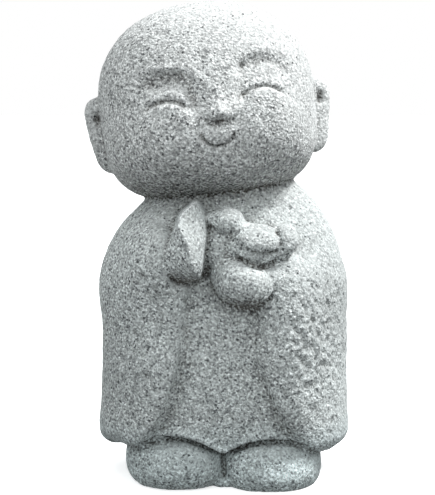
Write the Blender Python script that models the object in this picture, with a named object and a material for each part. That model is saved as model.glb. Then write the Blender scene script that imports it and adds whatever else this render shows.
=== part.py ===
"""A child-like jizo carved from one block of granite: a round bald head tilted towards its
right shoulder, a sleeved robe, one hand raised edge-on, and a small bird perched on the
other, cupped hand. One solid, standing on the flat underside of its feet.

The frame: +Z up, the face looks along -Y, and the origin is the middle of the underside,
between the feet. The statue's own right hand is on the -X side.
Every form is a closed skin over a grid of points. The skins are fused into one block,
the creases between them are rounded as a carver would leave them, and the base is cut flat.
"""

import math

import bmesh
import bpy
import numpy as np
from mathutils import Euler

# ---- driving dimensions, in millimetres -------------------------------------------------
MM = 0.001
TRIANGLES = 10300                   # faces of the finished solid
FINE_WORTH = 5e-5                   # how dearly faces are kept where the carving is fine

HEAD_CENTRE = (-10.3, -3.0, 239.0)
HEAD_HALF = (67.8, 59.0, 60.7)
HEAD_TURN = (-2.0, -5.5, 5.0)       # degrees: nod, lean and turn
HEAD_NOD = -8.0                     # the head's mass leans back by this much more
FACE_MIDDLE = 2.7                   # the face's middle line, across from the head's
CROWN_POWER = 2.25                  # how square the head's outline is, above
JOWL_POWER = 3.55                   # and below
HEAD_PLAN = 2.25                    # and seen from above

ROBE_TOP = 194.0
ROBE_POWER = 2.5                    # how square the robe is in plan
HEM = (                             # across, and height of the front edge
    (-80, -70, -62, -54, -46, -40, -33, -24, -15, -7, 0, 7, 16, 25, 33, 40, 47, 54, 62, 72, 80),
    (24.8, 24.8, 24.2, 25.8, 30.4, 32.4, 32.7, 31.8, 29.2, 25.4, 22.4,
     25.4, 29.2, 30.7, 31, 30.4, 28.8, 25, 21, 20, 20.2),
)
BACK_HEM = 13.0

CREASES = (                         # a line of (across, height), its width and its depth
    (((-60, 23.4), (-54, 25.2), (-47, 30), (-40, 32.4), (-33, 32.6), (-24, 31.6),
      (-15, 28.9), (-7, 25.1), (0, 21.9)), 1.3, 2.1),
    (((0, 21.9), (7, 25.1), (16, 29), (25, 30.5), (33, 30.8), (41, 30), (48, 28.2), (54, 25),
      (60, 21.2)), 1.3, 2.1),
    (((0.1, 25), (0.3, 18), (0.5, 10), (0.8, -4)), 1.2, 1.6),
    (((9.4, 155.2), (12.0, 152.6), (17.4, 149.4), (24.2, 148.2), (30.6, 149.2), (34.6, 151.2)), 1.1, 2.3),
    (((6.5, 147.6), (9, 146.4), (16.2, 142.6), (23.4, 140.2), (28.0, 141.4), (35.5, 146.4),
      (42, 151.4)), 1.1, 1.9),
    (((1.4, 124), (3, 121.6), (7, 118.4), (12.4, 116.2), (18, 116.2), (23, 117.8), (28, 121.2),
      (30.4, 125.5)), 1.2, 2.1),
    (((-33, 137), (-31, 133), (-26.5, 129.6), (-20, 128.4), (-14, 130.6), (-9.8, 134.8),
      (-7.6, 142)), 1.3, 1.8),
    (((22.4, 76), (26.3, 65), (31.2, 53), (37.9, 41.5), (44, 34)), 1.6, 1.1),
    (((-25.3, 90), (-26.9, 76.6), (-30.3, 64.9), (-34.4, 53.2), (-40.2, 41.5), (-46.8, 33.1)), 1.7, 1.1),
    (((31.6, 163), (34.2, 159.5), (35, 155.5), (34.2, 151.6)), 1.1, 1.9),
)

SKIN_VOXEL = 1.1                    # grain of the fused block
CREASE_PASSES = 6

GRANITE = (0.43, 0.45, 0.45, 1.0)
GRANITE_ROUGHNESS = 0.85


# ---- curves and surfaces ----------------------------------------------------------------
def through(at, stations, values):
    """A smooth curve through (station, value) pairs that never overshoots them: a cubic
    between neighbours, whose slope at each pair is the harmonic mean of the two beside it."""
    x = np.asarray(stations, float)
    y = np.asarray(values, float)
    at = np.clip(at, x[0], x[-1])
    span = np.diff(x)
    rise = np.diff(y) / span
    slope = np.zeros_like(y)
    both = rise[:-1] * rise[1:] > 0
    slope[1:-1][both] = 2 * rise[:-1][both] * rise[1:][both] / (rise[:-1] + rise[1:])[both]
    slope[0], slope[-1] = rise[0], rise[-1]
    i = np.clip(np.searchsorted(x, at, side="right") - 1, 0, len(span) - 1)
    t = (at - x[i]) / span[i]
    return (
        (1 + 2 * t) * (1 - t) ** 2 * y[i]
        + t * (1 - t) ** 2 * span[i] * slope[i]
        + t * t * (3 - 2 * t) * y[i + 1]
        + t * t * (t - 1) * span[i] * slope[i + 1]
    )


def turn_matrix(turn):
    """Three angles in degrees, about X, then Y, then Z, as a matrix."""
    return np.array(Euler([math.radians(a) for a in turn], "XYZ").to_matrix())


def turned(points, turn):
    """Points turned about the origin."""
    return points @ turn_matrix(turn).T


def sphere_grid(rings, sides):
    """Unit directions on a grid: rows from the south pole to the north, columns eastwards."""
    latitude = np.linspace(-math.pi / 2, math.pi / 2, rings)[:, None]
    longitude = np.linspace(0, 2 * math.pi, sides, endpoint=False)[None, :]
    return np.stack(
        [
            np.cos(latitude) * np.cos(longitude),
            np.cos(latitude) * np.sin(longitude),
            np.sin(latitude) + 0 * longitude,
        ],
        axis=-1,
    )


def squared_radius(direction, half, plan, profile):
    """Distance from the centre to a squared ellipsoid: the shares of its half sizes, raised
    to a power, add up to one on its surface. Plan and profile have a power each: two for an
    ellipse, and more for a squarer outline."""
    share = np.abs(direction / np.asarray(half))
    level = (share[..., 0] ** plan + share[..., 1] ** plan) ** (1 / plan)
    return (level ** profile + share[..., 2] ** profile) ** (-1 / profile)


def lobe(centre, half, turn=(0, 0, 0), plan=2.0, profile=2.0):
    """A squared ellipsoid as a grid of points."""
    direction = sphere_grid(49, 72)
    radius = squared_radius(direction, half, plan, profile)
    return turned(direction * radius[..., None], turn) + np.array(centre)


def squared_ring(angle, power):
    """A unit squared circle: cosine and sine, pulled out towards the corners."""
    reach = (np.abs(np.cos(angle)) ** power + np.abs(np.sin(angle)) ** power) ** (-1 / power)
    return np.cos(angle) * reach, np.sin(angle) * reach


def step(distance):
    """A smooth step: nought well below distance nought, a half there, and one well above."""
    return 0.5 + 0.5 * np.tanh(distance)


def bump(distance):
    """A smooth hump: one at distance nought, and falling to nothing as a bell does."""
    return np.exp(-distance ** 2)


def beyond(distance, width):
    """One past a line, and falling away on the near side of it: steep at the line itself and
    easing out over about the width."""
    return 1 - np.tanh(np.maximum(-distance, 0) / width)


def skin(name, rows):
    """A closed mesh over rows of points, the first and last row drawn in to a pole."""
    count, sides = rows.shape[:2]
    points = np.concatenate([rows[:1, 0], rows[1:-1].reshape(-1, 3), rows[-1:, 0]])
    ring = np.arange(sides)
    beside = np.roll(ring, -1)
    first = 1 + sides * np.arange(count - 3)[:, None]
    quads = np.stack(
        [first + ring, first + beside, first + sides + beside, first + sides + ring], axis=-1
    ).reshape(-1, 4)
    last = len(points) - 1
    foot = np.stack([np.zeros(sides, int), 1 + beside, 1 + ring], axis=-1)
    head = np.stack([np.full(sides, last), last - sides + ring, last - sides + beside], axis=-1)
    mesh = bpy.data.meshes.new(name)
    mesh.from_pydata((points * MM).tolist(), [], quads.tolist() + foot.tolist() + head.tolist())
    return mesh


# ---- the forms --------------------------------------------------------------------------
def head():
    """The plain head in its own frame: a squared ellipsoid whose lower half is squarer, more
    so at the sides than in front."""
    direction = sphere_grid(97, 132)
    jowl = JOWL_POWER - 0.5 * step((-direction[..., 1] - 0.55) / 0.2)
    power = jowl + (CROWN_POWER - jowl) * step(direction[..., 2] * 8)
    local = direction * squared_radius(direction, HEAD_HALF, HEAD_PLAN, power)[..., None]
    return turned(turned(local, (HEAD_NOD, 0, 0)), HEAD_TURN) + np.array(HEAD_CENTRE)


def ear_place(side):
    """Where an ear sits and how it leans: its centre, and three angles."""
    centre = turned(np.array([side * 64.3 + 1.3, 6.0, -15.2]), HEAD_TURN) + np.array(HEAD_CENTRE)
    lean = (HEAD_TURN[0], HEAD_TURN[1] + 9.8 * side - 1.5, HEAD_TURN[2] + side * 20.0)
    return centre, lean


def ear(side):
    """A long flat ear with a squared lobe, set a little behind the middle of the head."""
    centre, lean = ear_place(side)
    return lobe(centre, (13.0, 7.5, 24.6), lean, 2.9, 3.2)


def robe():
    """The robe with both sleeves. Each column runs from under the hem, round its rolled edge
    and up the wall to the neck; each ring is a squared ellipse whose left, right, front and
    back reach follow curves of the height, with the front panel sunk between the sleeves."""
    angle = np.linspace(0, 2 * math.pi, 240, endpoint=False)[None, :]
    c, s = squared_ring(angle, ROBE_POWER)
    front = step(-s / 0.06)
    side = np.clip((np.abs(c) * 80 - 44) / 20, 0, 1)
    ahead_of = step(-s / 0.3)
    edge = through(c * 80, *HEM) * ahead_of + BACK_HEM * (1 - ahead_of)
    roll_out = 1.5 + 13 * side * front + 7 * (1 - front)
    roll_up = 1.5 + 11 * side * front + 6 * (1 - front)
    quarter = np.linspace(0, math.pi / 2, 14)[:, None]
    wall = np.linspace(0, 1, 130)[1:, None]
    low = edge + roll_up
    level = np.concatenate([low - roll_up * np.cos(quarter), low + (ROBE_TOP - low) * wall])
    inset = np.concatenate([roll_out * (1 - np.sin(quarter)), 0 * low * wall])

    right = through(level, [32, 85, 124, 140, 153, 166, 175.6, 182, 187, 194],
                    [80.9, 79.3, 79.4, 75.6, 71.4, 64.8, 58.3, 52.2, 46, 40])
    left = through(level, [32, 60, 90, 124, 134, 143, 153, 163, 169, 174, 182, 194],
                   [79.8, 77.7, 76.9, 78.8, 77.2, 74.3, 69.3, 62.4, 56.5, 51.5, 45, 38])
    ahead = through(level, [20, 50, 80, 100, 125, 140, 155, 165, 175, 185, 194],
                    [66, 67, 65, 61.5, 56, 51, 46, 41, 34.5, 30, 27])
    behind = through(level, [20, 60, 110, 140, 160, 175, 194], [47, 48, 49, 48, 44, 38, 30])
    x = c * np.where(c > 0, right, left)
    y = s * np.where(s > 0, behind, ahead)

    valley_left = through(level, [28, 33, 42, 53, 65, 77, 90, 107, 121, 132],
                          [-52, -46.8, -40, -34.4, -30.3, -27, -25.3, -24, -21, -17])
    valley_right = through(level, [28, 33, 42, 53, 65, 77, 90, 102, 112, 122, 135],
                           [51, 46, 38, 31.2, 26.3, 22.5, 20.7, 20.7, 19, 15, 10])
    slope = through(level, [30, 50, 80], [2.5, 4.5, 6.0])
    panel = beyond(x - valley_left, 3.0) * beyond(valley_right - x, slope)
    depth = through(level, [20, 60, 90, 110, 125, 145], [12.5, 11, 8.5, 6.5, 4, 0])
    swell = (
        -depth * panel
        + 13.5 * bump((x + 40) / 16) * bump((level - 147) / 22)
        + 3.0 * step((level - 106) / 8) * bump((x + 52) / 28) * step((150 - level) / 12)
        + 11.0 * step((143 - level) / 5.5) * bump((x - 39.5) / 20)
        * through(level, [30, 60, 110], [0.15, 0.5, 1])
        - 2.0 * bump((x + 4) / 12) * bump((level - 146) / 22)
        + 1.4 * bump((level - edge - 3) / 2.5) * step((52 - np.abs(x)) / 4)
    )
    flat = np.stack([x / right ** 2, y / ahead ** 2], axis=-1)
    flat /= np.linalg.norm(flat, axis=-1, keepdims=True)
    push = front * swell * np.minimum(1, 1.6 * np.abs(s)) - inset
    wall_rows = np.stack([x + push * flat[..., 0], y + push * flat[..., 1], level], axis=-1)
    foot = np.broadcast_to([0, 0, 20.0], wall_rows[:1].shape)
    neck = np.broadcast_to([0, 0, ROBE_TOP], wall_rows[:1].shape)
    return np.concatenate([foot, wall_rows, neck])


def feet():
    """Two plump feet, and the stone left between them behind their narrow cleft."""
    return [
        lobe((-27.3, -7.5, 13.8), (34.6, 50.8, 21.6), (0, 0, -2), 2.4, 2.5),
        lobe((28.5, -8.5, 12.5), (34.1, 51.5, 22.4), (0, 0, 2), 2.5, 2.7),
        lobe((0.5, -10, 3), (12, 37, 14)),
    ]


def raised_hand():
    """A hand held upright in its cuff, as a bar of five sides whose corners follow curves of
    the height: the crest in front, the crisp ridge right of it, the palm, and the back of
    the hand, which runs out to the left into the sleeved forearm. It comes to a point above,
    and is round below."""
    level = np.linspace(0, 1, 80)[:, None]
    level = 129.3 + 50.9 * level ** 1.3
    at = [129.3, 130.2, 132, 135, 139, 144, 151, 160, 167, 172, 176, 178.5, 180.2]
    crest_x = through(
        level, at,
        [-20, -18.6, -17.2, -17.6, -18.6, -19.6, -20.4, -23.6, -26.8, -25.8, -21.6, -18.8, -16.6],
    )
    crest_y = through(level, at, [-46, -56, -62.5, -68, -72.5, -75, -76, -75.5, -73, -70.5, -67, -63, -57])
    ridge_x = through(
        level, at, [-20, -17, -14.8, -13.6, -13, -12.4, -11.4, -10.2, -11, -12.2, -14, -15, -16]
    )
    ridge_y = through(
        level, at,
        [-45, -55, -60.5, -64.5, -66.5, -67, -65, -61.5, -58.5, -56.5, -56, -56, -55.5],
    )
    palm_x = through(level, at, [-20, -16.5, -14, -12, -11, -10.2, -9.2, -8.8, -9.4, -10.6, -13, -14.4, -16])
    outer_x = through(
        level, at, [-20, -24, -28, -31.5, -34, -35, -34, -31, -28.6, -26.4, -21.8, -19.2, -16.6]
    )
    outer_y = through(level, at, [-44, -51, -56, -60, -62.5, -63.5, -64, -64.5, -65, -64.5, -62, -59.5, -55])
    back = -34 + 0 * level
    corners = np.stack(
        [
            np.stack([crest_x, crest_y], axis=-1),
            np.stack([ridge_x, ridge_y], axis=-1),
            np.stack([palm_x, back - 8], axis=-1),
            np.stack([palm_x, back], axis=-1),
            np.stack([outer_x, back], axis=-1),
            np.stack([outer_x, outer_y], axis=-1),
        ],
        axis=2,
    )[:, 0]
    forearm = lobe((-38.5, -41.5, 138), (14.5, 21.5, 27))
    return [bar(corners, level), forearm]


def bar(corners, level):
    """A closed bar: at each height, straight sides between the corners."""
    side = np.linspace(0, corners.shape[1], 14 * corners.shape[1], endpoint=False)
    first = side.astype(int)
    share = (side - first)[None, :, None]
    ring = corners[:, first] * (1 - share) + corners[:, (first + 1) % corners.shape[1]] * share
    for _ in range(8):
        ring = (np.roll(ring, 1, axis=1) + 2 * ring + np.roll(ring, -1, axis=1)) / 4
    return np.concatenate([ring, np.broadcast_to(level[:, :, None], ring.shape[:2] + (1,))], axis=-1)


def cupped_hand():
    """A mitten of a hand that the bird sits in, and the fold of its sleeve behind."""
    return [
        lobe((13.0, -53, 129.8), (18.6, 20, 14.5), (0, 17, -6), 2.3, 2.3),
        lobe((27, -44.5, 129.6), (21, 18.5, 12.6), (0, -4, 8), 2.2, 2.3),
        lobe((-3, -41.5, 148), (12, 17, 20)),
        lobe((4.5, -46, 136), (14, 17, 15)),
        lobe((34.5, -41, 135.3), (16, 17, 12), (0, -34, 0)),
    ]


def bird():
    """A plump bird: body, breast, head, nape, beak, the near wing and the tail."""
    return [
        lobe((17.6, -48, 151.0), (17.4, 15.5, 11.8), (0, 6, 0), 2.3, 2.3),
        lobe((4, -43, 156), (12.5, 14.8, 15), (0, -14, 0)),
        lobe((3.2, -50, 166.9), (9.9, 10.8, 9.0)),
        lobe((10, -50.5, 161.5), (8, 10, 7)),
        lobe((-4.0, -47.5, 168.4), (8.6, 8.5, 5.0), (0, -8, 0)),
        lobe((20.6, -56, 157.0), (13.6, 11.5, 6.8), (34, 6, 4), 2.5, 2.4),
        lobe((33.0, -48, 153.4), (13.8, 12.8, 8.6), (12, -34, 4), 2.2, 2.9),
    ]


# ---- carving ----------------------------------------------------------------------------
def ring_about(across, height, centre):
    """How far a point of the face is from a centre, and its direction from straight up."""
    return np.hypot(across - centre[0], height - centre[1]), np.arctan2(
        across - centre[0], height - centre[1])


def eye(across, height, centre, brow, deep, plump, sweep, crisp):
    """One closed, smiling eye: the hollow under its brow, the domed cheek below it with a
    crisp round upper edge, the groove of the lashes along that edge, widest by the nose, and
    the roll of the lid above them."""
    reach, bearing = ring_about(across, height, centre)
    arch = (np.abs((across - centre[0] - 1.5) / 17.5) ** 3 + np.abs((height - 3) / brow) ** 3) ** (1 / 3)
    fade = 0.08 + 0.16 * step((13 - np.abs(across)) / 3) + 0.16 * step((np.abs(across) - 38) / 4)
    lid = 9.2 - 12 * step((19 - np.abs(across)) / 2.5)
    ends = step((46 - np.abs(across)) / 5)
    hollow = step((1 - arch) / fade) * step((height - lid) / 4) * ends
    ridge = bump((arch - 1.16) / 0.13) * step((height - 8) / 4) * ends
    inner = -np.sign(centre[0]) * bearing
    soft = 5 * (1 - np.cos(bearing)) * (1 - crisp * bump((inner - 1.6) / 0.55))
    cheek = step((17.4 - reach) / (1.3 + soft))
    dome = bump(np.hypot((across - centre[0]) / 24, (height - centre[1] + 6.5) / 23))
    lashes = bump((reach - 18.3) / (1.2 + 0.5 * step((inner - 0.45) / 0.1)))
    lashes = lashes * step((sweep + 0.1 * (inner > 0) - np.abs(bearing)) / 0.08)
    roll = bump((reach - 22.4) / 3) * step((sweep + 0.1 - np.abs(bearing)) / 0.3)
    return deep * (1.1 * ridge + 0.8 * roll - 5.0 * hollow) + 2.1 * cheek + plump * dome - 2.1 * lashes


def face_relief(across, height):
    """How far the face stands out from the plain head: two eyes, a button nose at the foot
    of its bridge and a nick under it, a full upper lip, the smile, a groove bent like a bow,
    and the left brow, a groove too. Smile and brow have a drilled dot at one end."""
    across = across - FACE_MIDDLE
    bridge = bump((across + 1.2) / through(height, [-12, -2, 6, 14, 22], [6.6, 7.4, 11.5, 16.5, 21]))
    eyes = (eye(across, height, (-31.2, -17.0), 15.8, 0.95, 3.0, 0.70, 1.0)
            + eye(across, height, (27.2, -13.4), 21.0, 0.4, 0.9, 0.76, 0.0))
    nose = bridge * (3.3 * step((height + 11.2) / 1.5) * np.clip((22 - height) / 28, 0, 1))
    button = 3.3 * bump((across + 0.8) / 6.6) * bump((height + 6.8) / 4.8) - 1.3 * (
        bump((across + 1.4) / 6.6) * bump((height + 14.0) / 2.8))
    lip = 1.6 * bump(across / 9) * bump((height + 21.4) / 6)
    reach, bearing = ring_about(across, height, (-2.5, -17.6))
    smile = bump((reach - 10.2) / 0.9) * step((np.abs(bearing + 0.06) - 1.93) / 0.08)
    dot = bump(np.hypot(across + 12.2, height + 20.6) / 1.6)
    reach, bearing = ring_about(across, height, (28.6, -0.4))
    frown = bump((reach - 21.2) / (2.2 + 2.4 * step((0.1 - bearing) / 0.2)))
    frown = frown * step((0.8 - np.abs(bearing)) / 0.12) * (1.05 + 0.65 * step((27 - across) / 3))
    dot = dot + bump(np.hypot(across - 17.0, height - 19.6) / 1.4)
    return eyes * (1 - 0.9 * bridge) + nose + button + lip - 3.2 * smile - 2.4 * dot - frown


def carve_face(points):
    """The face cut into the fused block: points on the front of the head move along the
    line from the head's centre by the height of the relief there."""
    back = turn_matrix(HEAD_TURN)
    local = (points - HEAD_CENTRE) @ back
    across, depth, height = local.T
    outward = local / np.linalg.norm(local, axis=-1, keepdims=True)
    front = step((-depth - 26) / 6) * step((height + 44) / 4)
    moved = local + outward * (front * face_relief(across, height))[:, None]
    return moved @ back.T + HEAD_CENTRE


def gap_to(x, z, path):
    """How far points of the front are from a line of straight pieces through the given
    places, seen from the front, and how far along the line they are, from nought to one."""
    path = np.asarray(path, float)
    spot = np.stack([x, z], axis=-1)
    best = np.full(len(x), np.inf)
    along = np.zeros(len(x))
    for i in range(len(path) - 1):
        run = path[i + 1] - path[i]
        t = np.clip((spot - path[i]) @ run / (run @ run), 0, 1)
        gap = np.linalg.norm(spot - path[i] - t[:, None] * run, axis=-1)
        near = gap < best
        best[near], along[near] = gap[near], ((i + t) / (len(path) - 1))[near]
    return best, along


def creases(points):
    """How deep the point chisel went along the edges of the forms on the front: round the
    wing, under the bird, round the hands, between the feet and along the hem."""
    x, y, z = points.T
    total = np.zeros(len(points))
    for path, width, depth in CREASES:
        gap, along = gap_to(x, z, path)
        total += depth * bump(gap / width) * np.clip(12 * along * (1 - along), 0, 1)
    return total * step((-y - 36) / 3)


def carve_creases(points, normals):
    """The creases cut in along the normals."""
    return points - normals * creases(points)[:, None]


def carve_ears(points):
    """A hollow sunk in the front of each ear, inside a rolled rim, and deepest at a pit near
    its top, where the drill went in."""
    for side in (-1, 1):
        centre, lean = ear_place(side)
        back = turn_matrix(lean)
        local = (points - centre) @ back
        across, depth, height = local.T
        across = across * side
        near = step((-depth - 1) / 1.5) * step((14 - np.abs(local[:, 1])) / 1)
        shell = np.hypot((across - 3.2) / 6.2, (height - 2) / 18.5)
        pit = np.hypot((across - 3.6) / 2.1, (height - 10.5) / 3.6)
        sink = 0.7 * step((1 - shell) / 0.25) + 4.2 * bump(pit)
        points = points + np.where(near > 0.01, near * sink, 0)[:, None] * back[:, 1]
    return points


# ---- one block --------------------------------------------------------------------------
def fused(name, meshes, voxel):
    """The meshes made one closed skin by Blender's voxel remesh: overlapping stone has to
    become one surface, which no single formula gives."""
    joined = bmesh.new()
    for mesh in meshes:
        joined.from_mesh(mesh)
    whole = bpy.data.meshes.new(name)
    joined.to_mesh(whole)
    joined.free()
    block = bpy.data.objects.new(name, whole)
    bpy.context.scene.collection.objects.link(block)
    remesh = block.modifiers.new("fuse", "REMESH")
    remesh.mode = "VOXEL"
    remesh.voxel_size = voxel * MM
    graph = bpy.context.evaluated_depsgraph_get()
    solid = bpy.data.meshes.new_from_object(block.evaluated_get(graph))
    bpy.data.objects.remove(block)
    return solid


def points_of(mesh):
    """A mesh's points as rows, in millimetres."""
    flat = np.zeros(len(mesh.vertices) * 3)
    mesh.vertices.foreach_get("co", flat)
    return flat.reshape(-1, 3) / MM


def set_points(mesh, points):
    """Puts rows of millimetres back into a mesh."""
    mesh.vertices.foreach_set("co", (points * MM).ravel())
    mesh.update()


def normals_of(mesh):
    """The direction outwards at each point of a mesh."""
    flat = np.zeros(len(mesh.vertices) * 3)
    mesh.vertices.foreach_get("normal", flat)
    return flat.reshape(-1, 3)


def neighbours(mesh):
    """The two ends of each edge, and how many edges meet at each point."""
    ends = np.zeros(len(mesh.edges) * 2, int)
    mesh.edges.foreach_get("vertices", ends)
    a, b = ends.reshape(-1, 2).T
    return a, b, np.bincount(ends, minlength=len(mesh.vertices))[:, None]


def middles(values, a, b, count):
    """For each point, the mean of a value over its neighbours."""
    return np.stack(
        [
            np.bincount(a, values[b, k], len(values)) + np.bincount(b, values[a, k], len(values))
            for k in range(values.shape[1])
        ],
        axis=-1,
    ) / count


def eased(mesh, passes, share):
    """Creases and edges rounded: in each pass a point moves part of the way to the middle of
    its neighbours, by a share that the caller gives for each point."""
    points = points_of(mesh)
    a, b, count = neighbours(mesh)
    for _ in range(passes):
        points += share[:, None] * (middles(points, a, b, count) - points)
    set_points(mesh, points)
    return mesh


def softness(points):
    """How much each point may be eased: most on the sleeves and back, least on the hands,
    the bird and round the hem."""
    x, y, z = points.T
    detail = bump((x - 6) / 36) * bump((z - 150) / 34) * (y < -30)
    return 0.5 * (1 - 0.75 * np.maximum(detail, bump((z - 24) / 12)))


def cut_flat(mesh):
    """The stone below the sole is cut away, and the cut closed with one flat face."""
    shape = bmesh.new()
    shape.from_mesh(mesh)
    everything = shape.verts[:] + shape.edges[:] + shape.faces[:]
    cut = bmesh.ops.bisect_plane(
        shape, geom=everything, dist=1e-6, plane_co=(0, 0, 0), plane_no=(0, 0, -1), clear_outer=True
    )
    rim = [item for item in cut["geom_cut"] if isinstance(item, bmesh.types.BMEdge)]
    bmesh.ops.contextual_create(shape, geom=rim)
    bmesh.ops.triangulate(shape, faces=shape.faces[:])
    bmesh.ops.recalc_face_normals(shape, faces=shape.faces[:])
    shape.to_mesh(mesh)
    shape.free()
    return mesh


def granite():
    material = bpy.data.materials.new("granite")
    material.use_nodes = True
    shader = material.node_tree.nodes["Principled BSDF"]
    shader.inputs["Base Color"].default_value = GRANITE
    shader.inputs["Roughness"].default_value = GRANITE_ROUGHNESS
    shader.inputs["Metallic"].default_value = 0.0
    return material


def statue():
    """All the forms fused, eased and carved, thinned to the stated number of faces, with
    more of them kept for the face, the hands and the bird, and cut flat."""
    forms = [head(), ear(-1), ear(1), robe(), *feet(), *raised_hand(), *cupped_hand(), *bird()]
    meshes = [skin(f"form_{i:02d}", rows) for i, rows in enumerate(forms)]
    block = fused("block", meshes, SKIN_VOXEL)
    block = eased(block, CREASE_PASSES, softness(points_of(block)))
    set_points(block, carve_ears(carve_face(points_of(block))))
    set_points(block, carve_creases(points_of(block), normals_of(block)))
    stone = bpy.data.objects.new("jizo_statue", block)
    bpy.context.scene.collection.objects.link(stone)
    fine = stone.vertex_groups.new(name="fine")
    x, y, z = points_of(block).T
    hands = (y < -44) & (z > 112) & (z < 181) & (x > -34) & (x < 48)
    face = (y < -46) & (z > 208) & (z < 270)
    fine.add(np.flatnonzero(hands | face).tolist(), 0.5, "REPLACE")
    thin = stone.modifiers.new("thin", "DECIMATE")
    thin.vertex_group = fine.name
    thin.invert_vertex_group = True
    thin.vertex_group_factor = FINE_WORTH
    triangles = sum(len(face.vertices) - 2 for face in block.polygons)
    thin.ratio = TRIANGLES / triangles
    graph = bpy.context.evaluated_depsgraph_get()
    stone.data = cut_flat(bpy.data.meshes.new_from_object(stone.evaluated_get(graph)))
    stone.modifiers.clear()
    stone.vertex_groups.clear()
    stone.data.shade_smooth()
    stone.data.materials.clear()
    stone.data.materials.append(granite())
    return stone


def main():
    for old in list(bpy.data.objects):
        bpy.data.objects.remove(old)
    statue()


main()
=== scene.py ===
"""The looks of the stone jizo: one block of bush-hammered granite, carved as a plump child
in a sleeved robe, with a raised hand and a small bird, on a pale floor in soft light.

Lengths are in millimetres of a statue 300 mm tall, and MM turns them into metres of the
packed one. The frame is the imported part's: +Z up, the face looks along -Y, and the origin
is the middle of the underside, between the feet. Right and left are the statue's own, so
its left is +X.
"""

import math

import bmesh
import bpy
import numpy as np
from mathutils import Euler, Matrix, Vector


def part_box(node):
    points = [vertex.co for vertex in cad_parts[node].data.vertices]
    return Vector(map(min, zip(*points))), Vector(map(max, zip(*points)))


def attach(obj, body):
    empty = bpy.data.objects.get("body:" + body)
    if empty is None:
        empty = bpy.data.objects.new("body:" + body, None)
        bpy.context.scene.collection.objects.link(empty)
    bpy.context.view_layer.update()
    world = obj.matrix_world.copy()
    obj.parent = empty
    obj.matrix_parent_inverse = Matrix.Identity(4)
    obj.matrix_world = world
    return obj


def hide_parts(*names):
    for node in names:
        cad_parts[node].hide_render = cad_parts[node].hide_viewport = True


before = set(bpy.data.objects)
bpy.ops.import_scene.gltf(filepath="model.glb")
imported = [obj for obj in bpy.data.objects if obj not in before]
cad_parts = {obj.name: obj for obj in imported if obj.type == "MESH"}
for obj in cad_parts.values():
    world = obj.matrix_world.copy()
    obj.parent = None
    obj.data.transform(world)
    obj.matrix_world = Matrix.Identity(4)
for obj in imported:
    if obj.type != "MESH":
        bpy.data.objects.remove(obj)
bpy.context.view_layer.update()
LOW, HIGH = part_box("jizo_statue")
TALL = 300
MM = (HIGH[2] - LOW[2]) / TALL

# ---- proportions ------------------------------------------------------------------------
HEAD_CENTRE = (-10.3, -3.0, 239.0)
HEAD_HALF = (67.8, 59.0, 60.7)
HEAD_TURN = (-2.0, -5.5, 5.0)       # degrees: nod, lean and turn
HEAD_NOD = -8.0                     # the head's mass leans back by this much more
FACE_MIDDLE = 2.7                   # the face's middle line, across from the head's
CROWN_POWER = 2.25                  # how square the head's outline is, above
JOWL_POWER = 3.55                   # and below
HEAD_PLAN = 2.25                    # and seen from above
SHOULDERS = 196                     # the robe is below this height, and the ears above it
EAR_MIDDLE = (64.3, 6.0, -15.2)     # out, back and up from the head's centre
EAR_HALF = (13.0, 7.5, 24.6)

RIGHT_EYE = (-31.2, -17.0)          # across the face and up from the head's centre: the
LEFT_EYE = (27.2, -13.4)            # middle of the ring that the lashes follow
LASH_RING = 18.3                    # and its radius
SMILE_MIDDLE = (-2.5, -17.6)        # the same of the smile
SMILE_RING = 10.2
BROW_MIDDLE = (28.6, -0.4)          # and of the left brow
BROW_RING = 21.2

ROBE_TOP = 194.0
ROBE_HALF = 80                      # half its width at the hem
ROBE_POWER = 2.5                    # how square it is in plan
HEM = (                             # across, and height of the front edge
    (-80, -70, -62, -54, -46, -40, -33, -24, -15, -7, 0, 7, 16, 25, 33, 40, 47, 54, 62, 72, 80),
    (24.8, 24.8, 24.2, 25.8, 30.4, 32.4, 32.7, 31.8, 29.2, 25.4, 22.4,
     25.4, 29.2, 30.7, 31, 30.4, 28.8, 25, 21, 20, 20.2),
)
BACK_HEM = 13.0                     # height of the edge behind

HAND_FOOT = 129.3                   # the raised hand: its lowest point
HAND_TALL = 50.9                    # and from there to its tip
HAND_BACK = -34.0                   # where it sinks into the chest

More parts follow.
